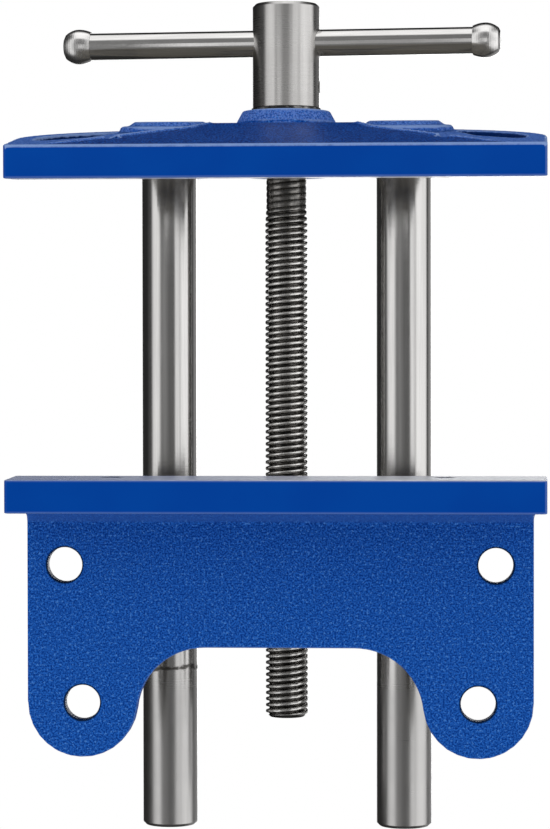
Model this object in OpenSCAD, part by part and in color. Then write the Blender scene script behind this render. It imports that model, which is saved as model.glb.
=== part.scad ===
// Woodworking vise with two guide rods and a central screw, bolted under the front edge of a bench.
// Millimetres. X runs along the jaws, Y from the handle towards the bench, Z up.
// The origin is the middle of the four bench bolts, on the face that meets the bench.

/* [Jaws] */
// Width of both jaws along their top edges
jaw_w = 165; // [150:1:230]
// Thickness of both jaws at their top edges
jaw_t = 10.4; // [9:0.1:16]
// Height of both jaws from top edge to bottom edge
jaw_h = 90.5; // [88:0.5:120]
// Height of the jaw tops above the mounting face
jaw_rise = 29.5; // [24:0.5:40]
// Depth from the jaw tops to the middle of the screw and guide rods
throat = 76; // [70:0.5:90]
// Gap between the clamping faces, as drawn
opening = 91.6; // [20:0.1:110]
// Radius of the two lower corners of a jaw
jaw_corner_r = 52; // [30:1:56]
// How much wider each end of a jaw is where its lower corner starts
jaw_flare = 1.4; // [0.5:0.1:3]
// Rounding of the upper corners and of the long top edges
edge_r = 1; // [0.4:0.1:2]
// Height of the machined clamping faces
pad_h = 31; // [26:0.5:40]
// How far the rear jaw steps back below its clamping face
rear_relief = 3.5; // [2:0.25:5]
// How far the front jaw steps back below its clamping face
front_relief = 5.5; // [3:0.25:6]
// Lean of the front clamping face, so that its top edge bites first
toe_in = 3; // [0.5:0.25:4]

/* [Holes for wooden cheeks] */
// Diameter of the cheek screw holes
cheek_hole_d = 5; // [4:0.5:6]
// Distance between the two cheek holes of a jaw
cheek_hole_pitch = 103; // [90:1:120]
// Distance of the cheek holes below the jaw top
cheek_hole_drop = 20; // [16:0.5:21]

/* [Front jaw casting] */
// Outward slope of the outer face of the front jaw
face_slope = 7.1; // [4:0.1:9]
// Slope of the raised panel between the diagonal edges
panel_slope = 10.6; // [9.5:0.1:12]
// Distance from the end of the jaw to the upper end of a diagonal edge
panel_inset = 11.4; // [8:0.2:18]
// Half width of the raised panel at its waist, where the diagonal edges end
panel_waist = 29; // [26:0.5:34]
// Depth of the waist of the raised panel
waist_h = 42; // [36:0.5:48]
// Half width of the raised panel at its lower edge
panel_foot = 24; // [20:0.5:26]
// Depth of the lower edge of the raised panel
panel_h = 58.5; // [52:0.5:64]
// How far the foot of the panel's flanks spreads beyond its edges
panel_flank = 5; // [3:0.5:8]
// Height of the ridge along the panel's edges at its upper ends
ridge_top_h = 0.5; // [0.3:0.1:0.9]
// Height of the ridge at the waist
ridge_waist_h = 1; // [0.6:0.1:1.4]
// Height of the ridge at the lower edge of the panel
ridge_foot_h = 0.4; // [0.3:0.1:0.9]
// Width of the inner side of the ridge
ridge_w = 1.2; // [0.8:0.1:2]
// Width of the rim round the pockets
rim_w = 6.5; // [5:0.5:9]
// Depth of the upper end of the pockets
pocket_top = 20.5; // [16:0.5:26]
// Distance from the middle of the jaw to the bend in the inner edge of a pocket
pocket_bend_x = 62; // [60:0.5:66]
// Depth of the bend in the inner edge of a pocket
pocket_bend_h = 42; // [38:0.5:48]
// Radius of that bend
pocket_bend_r = 14; // [6:1:20]
// Depth of the pockets behind the rim
pocket_depth = 4; // [2:0.25:5]
// Corner radius of the pockets
pocket_r = 2.4; // [1:0.2:4]
// Radius of the screw boss at its foot
screw_boss_r = 16.5; // [15.5:0.25:18]
// Radius of the screw boss where its front edge is rounded off
screw_boss_nose_r = 14.7; // [14:0.1:15.4]
// Distance of the screw boss face in front of the upper outer edge
screw_boss_rise = 15.9; // [15:0.1:20]
// Rounding of the front edge of the screw boss
boss_edge_r = 0.7; // [0.5:0.1:2]
// Radius of the rod bosses
rod_boss_r = 16.4; // [16:0.1:18]
// Distance of the rod boss faces in front of the upper outer edge
rod_boss_rise = 12.8; // [12:0.1:14]
// Lean of the rod boss faces, whose upper edges stand back
boss_lean = 5; // [1:0.5:7]
// Radius of the face of the raised step on a rod boss
rod_boss_nose_r = 11.4; // [11:0.1:12.4]
// Radius of that step at its foot
rod_step_r = 13.4; // [12.6:0.1:14]
// Height of that step
rod_step_h = 1.4; // [0.8:0.1:1.8]
// Rounding of the edge of a rod boss
rod_shoulder_r = 1.6; // [0.8:0.1:2]
// Distance of the inner boss faces behind the clamping edge
boss_setback = 5; // [4.5:0.1:5.5]
// Thickness of the ribs behind the front jaw
front_rib_t = 7; // [4:0.5:10]
// Depth of the ribs behind the front jaw
front_rib_depth = 7.5; // [7:0.1:8.5]

/* [Mounting plate] */
// Thickness of the mounting plate
plate_t = 6; // [4:0.5:10]
// Diameter of the bench bolt holes
bolt_hole_d = 11; // [8:0.5:13]
// Distance between the two front bolt holes
front_bolt_pitch = 135.4; // [120:0.2:140]
// Distance between the two rear bolt holes
rear_bolt_pitch = 124.4; // [112:0.2:130]
// Distance from the front bolt line to the rear bolt line
bolt_rows = 43.4; // [38:0.2:60]
// Distance from the back of the rear jaw to the front bolt line
bolt_setback = 17.6; // [14:0.1:22]
// Radius of the two rear lobes
lobe_r = 17.3; // [14:0.1:19]
// Radius of the hollow curves between the lobes and the middle edge
cutout_r = 21.5; // [16:0.5:24]
// Distance from the bolt middle back to the middle edge of the plate
cutout_y = 4.4; // [2:0.1:10]
// Radius of the fillet between the rear jaw and the plate
root_r = 5.6; // [3:0.1:6.5]
// Radius of the small corners where the plate sides meet the rear jaw
side_r = 3; // [1:0.25:4]
// Thickness of the webs between the plate and the bosses
web_t = 8; // [5:0.5:12]
// Distance of the webs' upper ends in front of the plate's middle edge
web_setback = 3; // [1:0.5:8]

/* [Guide rods] */
// Diameter of the guide rods
rod_d = 18; // [14:0.5:20]
// Distance between the guide rods
rod_pitch = 77.2; // [74:0.1:84]
// Distance from the rear clamping face to the back ends of the rods, as drawn
rod_reach = 117; // [105:1:160]
// Chamfer on the ends of the rods
rod_chamfer = 1; // [0.5:0.25:2]
// Radius of the guide bosses under the plate
guide_boss_r = 15; // [13.5:0.25:16]
// Distance from the back of the rear jaw to the back of the guide bosses
guide_l = 44.5; // [36:0.5:48]
// Thickness of casting that closes the front of the rod bosses
rod_cap_t = 2.7; // [2:0.1:4]
// Diameter of the spring pins that hold the rods
rod_pin_d = 5; // [3:0.5:6]
// Length of the spring pins that hold the rods
rod_pin_l = 26; // [22:0.5:27]
// Wall of the spring pins
rod_pin_wall = 1; // [0.5:0.1:1.4]

/* [Screw and nut] */
// Major diameter of the screw thread
screw_d = 14; // [12:0.5:16]
// Distance from the rear clamping face to the back end of the screw, as drawn
screw_reach = 81.2; // [72:0.2:110]
// Diameter of the run-out neck in front of the thread
neck_d = 13.2; // [11:0.1:13.6]
// Length of the run-out neck
neck_l = 9.6; // [4:0.2:14]
// Chamfer on the back end of the screw
screw_chamfer = 1.4; // [0.5:0.1:2]
// Radial room for the screw in the rear casting, in front of the nut
screw_room = 1; // [0.5:0.25:2]
// Outer diameter of the nut body
nut_d = 24; // [20:0.5:26]
// Length of the nut body in the rear casting
nut_l = 20; // [12:0.5:28]
// Diameter of the nut flange
nut_flange_d = 30; // [28:0.5:32]
// Thickness of the nut flange
nut_flange_t = 4; // [2:0.5:6]
// Diameter of the set screw that locks the nut
set_screw_d = 6; // [4:0.5:8]
// Distance of the set screw from the nut flange
set_screw_inset = 8; // [6:0.5:14]
// Width across the corners of the set screw's hexagon socket
set_socket_w = 3.4; // [2:0.2:3.8]
// Depth of the set screw's hexagon socket
set_socket_depth = 2; // [1:0.25:2.5]

/* [Hub] */
// Diameter of the screw hub
hub_d = 22; // [20:0.5:26]
// Length of the screw hub
hub_l = 34.2; // [32:0.2:42]
// Chamfer on the front end of the hub
hub_chamfer = 1; // [0.5:0.1:2]
// Chamfer on the back end of the hub
hub_back_chamfer = 0.3; // [0.2:0.1:1]
// Distance from the front end of the hub to the handle
hub_nose = 12.8; // [9:0.1:14]
// Diameter of the screw spigot inside the hub
spigot_d = 11; // [8:0.25:12]
// Length of the screw spigot inside the hub
spigot_l = 14; // [10:0.5:14.5]
// Diameter of the pin through the hub and spigot
hub_pin_d = 4; // [3:0.25:5]
// Thickness of the thrust washer behind the hub
thrust_t = 0.8; // [0.8:0.1:2]
// Diameter of the thrust washer
thrust_d = 22.8; // [22:0.1:26]

/* [Screw retainer] */
// Diameter of the washer behind the front jaw
washer_d = 23; // [20:0.5:23]
// Thickness of the washer behind the front jaw
washer_t = 1.5; // [1:0.1:2]
// Outer diameter of the retaining ring
ring_d = 20; // [18:0.5:21]
// Thickness of the retaining ring
ring_t = 1; // [0.8:0.1:1.2]
// Gap between the ends of the retaining ring
ring_gap = 5; // [3:0.5:7]
// Diameter of the plier holes in the retaining ring
ring_hole_d = 1.6; // [1:0.1:1.8]
// Depth of the ring groove in the screw
groove_depth = 0.5; // [0.3:0.05:0.8]
// Diameter of the recess that holds washer and ring
recess_d = 25; // [24:0.5:26]
// Depth of the recess that holds washer and ring
recess_depth = 5.2; // [4.6:0.1:6]

/* [Handle] */
// Diameter of the handle bar
handle_d = 8.8; // [7:0.1:9.4]
// Length of the handle over both knobs
handle_l = 144.5; // [110:0.5:180]
// Greatest diameter of a knob
knob_d = 11.5; // [10.5:0.1:15]
// Length of a knob
knob_l = 9; // [7:0.1:14]
// Diameter of a knob where it meets the bar
knob_mouth_d = 9.6; // [9.5:0.1:10.4]
// Diameter of a knob at its outer shoulder
knob_end_d = 8.2; // [7:0.1:9]
// Diameter of the flat on a knob's outer end
knob_flat_d = 5.8; // [3:0.1:6.5]
// Length of the bevel on a knob's outer end
knob_bevel = 0.6; // [0.3:0.1:1]
// Diameter of the bar ends inside the knobs
stub_d = 6; // [4:0.25:6.5]
// Length of the bar ends inside the knobs
stub_l = 6; // [4:0.25:6.5]
// Shift of the handle in the hub towards +X, as drawn
handle_shift = 1.9; // [-20:0.1:20]
// Turn of the screw and handle about the screw axis, as drawn
handle_turn = 5; // [-90:1:90]

/* [Clearances] */
// Radial clearance of the guide rods in the rear casting
guide_gap = 0.06; // [0.02:0.01:0.1]
// Radial clearance of the screw in the front jaw and the nut
screw_gap = 0.05; // [0.02:0.01:0.1]
// Radial clearance of the handle in the hub
handle_gap = 0.1; // [0.05:0.01:0.1]
// Radial clearance of parts that are pressed together
press_gap = 0.01; // [0.005:0.005:0.02]
// End play of the screw on each side of the front jaw
end_play = 0.1; // [0.05:0.01:0.2]

/* [Hidden] */
$fn = 64;
// Straight pieces in a small and in a large rounded corner, and along half a knob
small_steps = 4;
large_steps = 14;
knob_steps = 6;
// How far a cutting shape runs past what it cuts, and a joining shape into what it joins
overrun = 1;
// Radius of the retaining ring's eyes as a part of the width they sit in
ring_eye_share = 0.62;
casting_blue = [0.05, 0.27, 0.58];
bright_steel = [0.72, 0.72, 0.70];
oiled_steel = [0.24, 0.23, 0.22];
zinc_steel = [0.62, 0.63, 0.65];

// Places along Y
rear_bolt_y = bolt_rows / 2;
front_bolt_y = -bolt_rows / 2;
rear_back_y = front_bolt_y - bolt_setback;
rear_face_y = rear_back_y - jaw_t;
front_face_y = rear_face_y - opening;
guide_back_y = rear_back_y + guide_l;
nut_flange_y = guide_back_y - nut_flange_t;
// Height of the screw and guide rod axes
axis_z = jaw_rise - throat;

// Places of the screw's pieces along Y
screw_boss_y = front_face_y - jaw_t - screw_boss_rise;
hub_back_y = screw_boss_y - end_play - thrust_t;
hub_front_y = hub_back_y - hub_l;
handle_y = hub_front_y + hub_nose;
spigot_front_y = hub_back_y - spigot_l;
recess_floor_y = front_face_y - boss_setback - recess_depth;
washer_y = recess_floor_y + end_play;
ring_y = washer_y + washer_t;
groove_w = ring_t + end_play;
neck_y = front_face_y - boss_setback;
screw_back_y = rear_face_y + screw_reach;

// Places of the guide rods and their pins
rod_back_y = rear_face_y + rod_reach;
rod_front_y = front_face_y - jaw_t - rod_boss_rise + rod_cap_t;
rod_pin_y = (neck_y + rod_front_y) / 2;
rod_pin_z = axis_z - guide_boss_r + edge_r;

// Length of the handle bar between the knobs
bar_l = handle_l - 2 * knob_l;

// Arc of a circle as points, from one angle to another
function arc(centre, r, from, to, steps) =
    [for (i = [0 : steps]) let (a = from + (to - from) * i / steps) centre + r * [cos(a), sin(a)]];

// The same points on the other side of the middle line, in reverse order
function mirrored(points) =
    [for (i = [len(points) - 1 : -1 : 0]) [-points[i][0], points[i][1]]];

function unit(v) = v / norm(v);

// One corner of an outline, rounded to radius r
function round_corner(before, at, after, r, steps) =
    let (
        a = unit(before - at),
        b = unit(after - at),
        half = acos(a * b) / 2,
        centre = at + unit(a + b) * r / sin(half),
        start = at + a * r / tan(half) - centre,
        end = at + b * r / tan(half) - centre,
        turn = atan2(start[0] * end[1] - start[1] * end[0], start * end),
        from = atan2(start[1], start[0])
    )
    arc(centre, r, from, from + turn, steps);

// Distance of the front jaw's outer face in front of the clamping edge, at a depth below the top
function face_at(depth) = jaw_t + depth * tan(face_slope);

// The same for the raised panel
function panel_at(depth) = jaw_t + depth * tan(panel_slope);

// Gives thickness towards -Y to an outline drawn in X and Z
module towards_front(thickness) {
    rotate([90, 0, 0]) linear_extrude(thickness) children();
}

// Extrudes an outline drawn in Y and Z along X, centred on the given place
module across(width, x = 0) {
    translate([x - width / 2, 0, 0]) rotate([90, 0, 90]) linear_extrude(width) children();
}

// Puts a shape made along Z at a place, so that it runs towards +Y
module run_back(x, y, z) {
    translate([x, y, z]) rotate([-90, 0, 0]) children();
}

// A round bar along Z with a chamfer on both ends
module chamfered_bar(r, length, near_chamfer, far_chamfer) {
    rotate_extrude()
        polygon([
            [0, 0], [r - near_chamfer, 0], [r, near_chamfer], [r, length - far_chamfer],
            [r - far_chamfer, length], [0, length],
        ]);
}

// A flat ring along Z
module flat_ring(outer_r, inner_r, thickness) {
    difference() {
        cylinder(h = thickness, r = outer_r);
        translate([0, 0, -overrun]) cylinder(h = thickness + 2 * overrun, r = inner_r);
    }
}

// A slotted spring pin along Z
module spring_pin(d, wall, length) {
    difference() {
        cylinder(h = length, r = d / 2);
        translate([0, 0, -overrun]) cylinder(h = length + 2 * overrun, r = d / 2 - wall);
        translate([0, -wall / 2, -overrun]) cube([d, wall, length + 2 * overrun]);
    }
}

// Outline of a jaw in X and Z, with the middle of its top edge at the origin
module jaw_outline() {
    shoulder = jaw_w / 2 + jaw_flare - jaw_corner_r;
    right = concat(
        arc([jaw_w / 2 - edge_r, -edge_r], edge_r, 90, 0, small_steps),
        arc([shoulder, jaw_corner_r - jaw_h], jaw_corner_r, 0, -90, large_steps)
    );
    polygon(concat(right, mirrored(right)));
}

// Two holes through a jaw for the screws of a wooden cheek
module cheek_holes(length) {
    for (side = [-1, 1])
        translate([side * cheek_hole_pitch / 2, overrun, -cheek_hole_drop])
            rotate([90, 0, 0]) cylinder(h = length + 2 * overrun, r = cheek_hole_d / 2);
}

// Section of the rear jaw in Y and Z: clamping face, step below it and flat back
module rear_section() {
    polygon(concat(
        arc([jaw_t - edge_r, -edge_r], edge_r, 0, 90, small_steps),
        arc([edge_r, -edge_r], edge_r, 90, 180, small_steps),
        [
            [0, -pad_h], [rear_relief, -pad_h],
            [rear_relief, -jaw_h], [jaw_t, -jaw_h],
        ]
    ));
}

// Outline of the mounting plate in X and Y, with hollow curves that run smoothly into the lobes
module plate_outline() {
    lobe = [rear_bolt_pitch / 2, rear_bolt_y];
    side = lobe[0] + lobe_r;
    hollow_y = cutout_y + cutout_r;
    reach = lobe_r + cutout_r;
    hollow = [lobe[0] - sqrt(reach * reach - pow(hollow_y - lobe[1], 2)), hollow_y];
    turn = atan2(hollow[1] - lobe[1], hollow[0] - lobe[0]);
    right = concat(
        [[side + side_r, rear_back_y - overrun]],
        arc([side + side_r, rear_back_y + side_r], side_r, -90, -180, small_steps),
        arc(lobe, lobe_r, 0, turn, large_steps),
        arc(hollow, cutout_r, turn - 180, -90, large_steps)
    );
    polygon(concat(right, mirrored(right)));
}

// Fillet between the back of the rear jaw and the plate, in Y and Z
module root_section() {
    polygon(concat(
        [[rear_back_y - overrun, -overrun], [rear_back_y + root_r, -overrun]],
        arc([rear_back_y + root_r, root_r], root_r, -90, -180, 2 * small_steps),
        [[rear_back_y - overrun, root_r]]
    ));
}

// Upright web from the plate down to a boss, in Y and Z
module boss_web(x, back_y) {
    across(web_t, x)
        polygon([
            [rear_back_y - overrun, overrun - plate_t],
            [cutout_y - web_setback, overrun - plate_t],
            [back_y, axis_z],
            [rear_back_y - overrun, axis_z],
        ]);
}

module rear_jaw_casting() {
    boss_front_y = rear_face_y + rear_relief + overrun;
    color(casting_blue)
    difference() {
        union() {
            translate([0, rear_face_y, jaw_rise]) intersection() {
                translate([0, jaw_t + overrun, 0])
                    towards_front(jaw_t + 2 * overrun) jaw_outline();
                across(jaw_w + 2 * jaw_flare + 2 * overrun) rear_section();
            }
            translate([0, 0, -plate_t]) linear_extrude(plate_t) plate_outline();
            across(rear_bolt_pitch + 2 * lobe_r) root_section();
            for (side = [-1, 1]) {
                run_back(side * rod_pitch / 2, boss_front_y, axis_z)
                    cylinder(h = guide_back_y - boss_front_y, r = guide_boss_r);
                boss_web(side * rod_pitch / 2, guide_back_y);
            }
            run_back(0, boss_front_y, axis_z)
                cylinder(h = nut_flange_y - boss_front_y, r = screw_boss_r);
            boss_web(0, nut_flange_y);
        }
        for (side = [-1, 1]) {
            run_back(side * rod_pitch / 2, rear_face_y, axis_z)
                cylinder(h = jaw_t + guide_l + overrun, r = rod_d / 2 + guide_gap);
            translate([side * front_bolt_pitch / 2, front_bolt_y, -plate_t - overrun])
                cylinder(h = plate_t + 2 * overrun, r = bolt_hole_d / 2);
            translate([side * rear_bolt_pitch / 2, rear_bolt_y, -plate_t - overrun])
                cylinder(h = plate_t + 2 * overrun, r = bolt_hole_d / 2);
        }
        translate([0, rear_back_y, jaw_rise]) cheek_holes(jaw_t);
        run_back(0, rear_face_y, axis_z)
            cylinder(h = nut_flange_y - rear_face_y, r = screw_d / 2 + screw_room);
        run_back(0, nut_flange_y - nut_l, axis_z)
            cylinder(h = nut_l + overrun, r = nut_d / 2 + press_gap);
        translate([0, nut_flange_y - set_screw_inset, axis_z - screw_boss_r - overrun])
            cylinder(h = screw_boss_r, r = set_screw_d / 2 + press_gap);
    }
}

module screw_nut() {
    bore_r = screw_d / 2 + screw_gap;
    lead = (nut_d / 2 - bore_r) / 4;
    color(bright_steel)
    run_back(0, nut_flange_y - nut_l, axis_z)
        rotate_extrude()
            polygon([
                [bore_r, 0], [nut_d / 2 - lead, 0], [nut_d / 2, lead],
                [nut_d / 2, nut_l], [nut_flange_d / 2, nut_l],
                [nut_flange_d / 2, nut_l + nut_flange_t - lead],
                [nut_flange_d / 2 - lead, nut_l + nut_flange_t],
                [bore_r, nut_l + nut_flange_t],
            ]);
}

module nut_set_screw() {
    length = screw_boss_r - nut_d / 2;
    color(oiled_steel)
    translate([0, nut_flange_y - set_screw_inset, axis_z - screw_boss_r])
        difference() {
            cylinder(h = length, r = set_screw_d / 2);
            translate([0, 0, -overrun])
                cylinder(h = set_socket_depth + overrun, r = set_socket_w / 2, $fn = 6);
        }
}

// Section of the front jaw in Y and Z: toed-in clamping face, step below it and sloped wall
module front_section() {
    polygon(concat(
        arc([-edge_r, -edge_r], edge_r, 0, 90, small_steps),
        arc([edge_r - jaw_t, -edge_r], edge_r, 90, 180, small_steps),
        [
            [-face_at(jaw_h), -jaw_h],
            [-front_relief - (jaw_h - pad_h) * tan(face_slope), -jaw_h],
            [-front_relief, -pad_h],
            [(edge_r - pad_h) * tan(toe_in), -pad_h],
        ]
    ));
}

// The raised panel with a ridge along each edge, lofted from under the top edge past its waist to its foot
module front_panel() {
    // Half width, depth, distance in front of the clamping edge, drop of the flanks' feet, ridge height
    stations = [
        [jaw_w / 2 - panel_inset, edge_r * 3 / 2, jaw_t - edge_r / 4, 0, ridge_top_h],
        [panel_waist, waist_h, panel_at(waist_h), 0, ridge_waist_h],
        [panel_foot, panel_h, panel_at(panel_h), panel_flank, ridge_foot_h],
    ];
    points = [for (s = stations) let (foot = s[1] + s[3], wall = overrun - face_at(foot)) each [
        [s[0] + panel_flank, wall, -foot],
        [s[0], -s[2] - s[4], -s[1]],
        [s[0] - ridge_w, -s[2], -s[1]],
        [ridge_w - s[0], -s[2], -s[1]],
        [-s[0], -s[2] - s[4], -s[1]],
        [-s[0] - panel_flank, wall, -foot],
    ]];
    row = len(points) / len(stations);
    end = len(points) - row;
    faces = [
        [0, 1, 2], [0, 2, 3, 5], [3, 4, 5],
        [end + 2, end + 1, end], [end, end + 5, end + 3, end + 2], [end + 5, end + 4, end + 3],
        for (i = [0, row]) each [
            for (j = [i : i + row - 2]) [j, j + row, j + row + 1, j + 1],
            [i, i + row - 1, i + 2 * row - 1, i + row],
        ],
    ];
    polyhedron(points, faces);
}

// Outline of the pocket on the +X side in X and Z, between the rim, a bent inner edge and a rod boss
module pocket_outline() {
    shoulder = jaw_w / 2 + jaw_flare - jaw_corner_r;
    centre = [shoulder, jaw_corner_r - jaw_h];
    r = jaw_corner_r - rim_w;
    boss_side = [(rod_pitch + 2 * rod_boss_r) / 2, -throat];
    bend = [pocket_bend_x, -pocket_bend_h];
    tip = [jaw_w / 2 - rim_w, -pocket_top];
    boss_turn = -acos((rod_pitch / 2 - shoulder) / r + rod_boss_r / r / 2);
    polygon(concat(
        [[rod_pitch / 2, -throat], boss_side],
        round_corner(boss_side, bend, tip, pocket_bend_r, small_steps),
        round_corner(bend, tip, centre + [r, 0], pocket_r, small_steps),
        arc(centre, r, 0, boss_turn, large_steps)
    ));
}

// What a pocket takes away from the front of the casting
module front_pocket() {
    floor_top = pocket_depth - jaw_t;
    floor_foot = pocket_depth - face_at(jaw_h);
    intersection() {
        towards_front(face_at(jaw_h) + overrun) pocket_outline();
        across(jaw_w + 2 * jaw_flare)
            polygon([
                [floor_top, 0], [floor_foot, -jaw_h],
                [floor_foot - jaw_t, -jaw_h], [floor_top - jaw_t, 0],
            ]);
    }
}

// Boss for the screw, from its inner face to its rounded front edge
module screw_boss() {
    face = jaw_t + screw_boss_rise;
    foot = panel_at(panel_h) + edge_r;
    rotate_extrude()
        polygon(concat(
            [[0, boss_setback], [screw_boss_r, boss_setback], [screw_boss_r, foot]],
            arc([screw_boss_nose_r - boss_edge_r, face - boss_edge_r], boss_edge_r, 0, 90, small_steps),
            [[0, face]]
        ));
}

// Boss for a guide rod: a straight part round the bore and a closed front of two steps that lean back
module rod_boss() {
    face = jaw_t + rod_boss_rise;
    base = face_at(throat) - rod_boss_r * tan(boss_lean) - overrun;
    translate([0, 0, boss_setback])
        cylinder(h = face_at(throat) - boss_setback, r = guide_boss_r);
    translate([0, 0, face]) rotate([-boss_lean, 0, 0])
        rotate_extrude()
            polygon(concat(
                [[0, base - face], [rod_boss_r, base - face]],
                arc([rod_boss_r - rod_shoulder_r, -rod_step_h - rod_shoulder_r],
                    rod_shoulder_r, 0, 90, small_steps),
                [[rod_step_r, -rod_step_h], [rod_boss_nose_r, 0], [0, 0]]
            ));
}

// Rib on the inner side of the front jaw, flush with the bosses
module inner_rib(low, high) {
    translate([0, -boss_setback, 0])
        towards_front(front_rib_depth)
            translate([low[0], low[1]]) square(high - low);
}

module front_jaw_casting() {
    half_rib = front_rib_t / 2;
    color(casting_blue)
    translate([0, front_face_y, jaw_rise])
    difference() {
        union() {
            difference() {
                intersection() {
                    towards_front(face_at(jaw_h) + overrun) jaw_outline();
                    across(jaw_w + 2 * jaw_flare + 2 * overrun) front_section();
                }
                front_pocket();
                mirror([1, 0, 0]) front_pocket();
            }
            front_panel();
            translate([0, 0, -throat]) rotate([90, 0, 0]) screw_boss();
            for (side = [-1, 1])
                translate([side * rod_pitch / 2, 0, -throat]) rotate([90, 0, 0]) rod_boss();
            for (x = [-rod_pitch / 2, 0, rod_pitch / 2])
                inner_rib([x - half_rib, -throat], [x + half_rib, -pad_h]);
            inner_rib([-rod_pitch / 2, -throat - half_rib], [rod_pitch / 2, half_rib - throat]);
        }
        cheek_holes(face_at(jaw_h));
        translate([0, overrun - boss_setback, -throat]) rotate([90, 0, 0]) {
            cylinder(h = face_at(jaw_h) + jaw_t, r = screw_d / 2 + screw_gap);
            cylinder(h = recess_depth + overrun, r = recess_d / 2);
        }
        for (side = [-1, 1]) {
            translate([side * rod_pitch / 2, overrun - boss_setback, -throat])
                rotate([90, 0, 0])
                    cylinder(h = neck_y - rod_front_y + overrun, r = rod_d / 2 + press_gap);
            translate([side * rod_pitch / 2, rod_pin_y - front_face_y,
                       rod_pin_z - jaw_rise - 2 * overrun])
                cylinder(h = rod_pin_l + 2 * overrun, r = rod_pin_d / 2 + press_gap);
        }
    }
}

module guide_rod(side) {
    color(bright_steel)
    difference() {
        run_back(side * rod_pitch / 2, rod_front_y, axis_z)
            chamfered_bar(rod_d / 2, rod_back_y - rod_front_y, rod_chamfer, rod_chamfer);
        translate([side * rod_pitch / 2, rod_pin_y, axis_z - rod_d])
            cylinder(h = 2 * rod_d, r = rod_pin_d / 2 + press_gap);
    }
}

module rod_pin(side) {
    color(oiled_steel)
    translate([side * rod_pitch / 2, rod_pin_y, rod_pin_z])
        spring_pin(rod_pin_d, rod_pin_wall, rod_pin_l);
}

// Places a piece that turns with the screw: made along Z, from the given place towards +Y
module on_screw(y) {
    translate([0, y, axis_z]) rotate([0, handle_turn, 0]) rotate([-90, 0, 0]) children();
}

// Cross hole or pin through the hub, at a distance along the screw, parallel to the handle
module cross_bar(along, r, length) {
    translate([-length / 2, 0, along]) rotate([0, 90, 0]) cylinder(h = length, r = r);
}

module lead_screw() {
    r = screw_d / 2;
    shoulder = spigot_l;
    groove = ring_y - spigot_front_y;
    neck = neck_y - spigot_front_y;
    end = screw_back_y - spigot_front_y;
    color(oiled_steel)
    on_screw(spigot_front_y)
        difference() {
            rotate_extrude()
                polygon([
                    [0, 0], [spigot_d / 2 - groove_depth, 0], [spigot_d / 2, groove_depth],
                    [spigot_d / 2, shoulder], [r, shoulder],
                    [r, groove], [r - groove_depth, groove],
                    [r - groove_depth, groove + groove_w], [r, groove + groove_w],
                    [r, neck], [neck_d / 2, neck + r - neck_d / 2],
                    [neck_d / 2, neck + neck_l - r + neck_d / 2], [r, neck + neck_l],
                    [r, end - screw_chamfer], [r - screw_chamfer, end], [0, end],
                ]);
            cross_bar(spigot_l / 2, hub_pin_d / 2 + press_gap, hub_d);
        }
}

module screw_hub() {
    color(bright_steel)
    on_screw(hub_front_y)
        difference() {
            chamfered_bar(hub_d / 2, hub_l, hub_chamfer, hub_back_chamfer);
            translate([0, 0, hub_l - spigot_l])
                cylinder(h = spigot_l + overrun, r = spigot_d / 2 + press_gap);
            cross_bar(hub_nose, handle_d / 2 + handle_gap, hub_d + 2 * overrun);
            cross_bar(hub_l - spigot_l / 2, hub_pin_d / 2 + press_gap, hub_d + 2 * overrun);
        }
}

module hub_pin() {
    color(oiled_steel)
    on_screw(hub_back_y - spigot_l / 2)
        cross_bar(0, hub_pin_d / 2, hub_d - hub_pin_d / 2);
}

module thrust_washer() {
    color(zinc_steel)
    on_screw(hub_back_y)
        flat_ring(thrust_d / 2, screw_d / 2 + press_gap, thrust_t);
}

module retaining_washer() {
    color(zinc_steel)
    on_screw(washer_y)
        flat_ring(washer_d / 2, screw_d / 2 + press_gap, washer_t);
}

// Open ring with an eye at each end for the pliers
module retaining_ring() {
    inner_r = screw_d / 2 - groove_depth + press_gap;
    eye_r = (ring_d / 2 - inner_r) * ring_eye_share;
    eye_x = ring_gap / 2 + eye_r;
    eye_y = inner_r + eye_r;
    color(oiled_steel)
    on_screw(ring_y)
        linear_extrude(ring_t)
            difference() {
                union() {
                    difference() {
                        circle(ring_d / 2);
                        translate([-ring_gap / 2, 0]) square([ring_gap, ring_d]);
                    }
                    for (side = [-1, 1]) translate([side * eye_x, eye_y]) circle(eye_r);
                }
                circle(inner_r);
                for (side = [-1, 1]) translate([side * eye_x, eye_y]) circle(ring_hole_d / 2);
            }
}

// Places a piece of the handle, which is made along Z from the middle of the bar towards +X
module on_handle(side) {
    translate([0, handle_y, axis_z]) rotate([0, handle_turn, 0])
        translate([handle_shift, 0, 0]) rotate([0, side * 90, 0]) children();
}

module handle_bar() {
    stub_z = bar_l / 2 + stub_l;
    shoulder = (handle_d - stub_d) / 4;
    color(bright_steel)
    on_handle(1)
        rotate_extrude()
            polygon([
                [0, -stub_z], [stub_d / 2, -stub_z], [stub_d / 2, -bar_l / 2],
                [handle_d / 2, -bar_l / 2], [handle_d / 2, bar_l / 2],
                [stub_d / 2, bar_l / 2], [stub_d / 2, stub_z], [0, stub_z],
            ]);
}

// A barrel-shaped knob with a blind hole for the end of the bar
module handle_knob(side) {
    barrel_l = knob_l - knob_bevel;
    middle = barrel_l / 2;
    belly = [for (i = [-knob_steps : knob_steps])
        let (share = i / knob_steps, end_d = i < 0 ? knob_mouth_d : knob_end_d)
        [knob_d / 2 - (knob_d - end_d) / 2 * share * share, middle + middle * share]];
    color(bright_steel)
    on_handle(side)
        translate([0, 0, bar_l / 2])
            rotate_extrude()
                polygon(concat(
                    [[stub_d / 2 + press_gap, 0]],
                    belly,
                    [[knob_flat_d / 2, knob_l], [0, knob_l], [0, stub_l],
                     [stub_d / 2 + press_gap, stub_l]]
                ));
}

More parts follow.
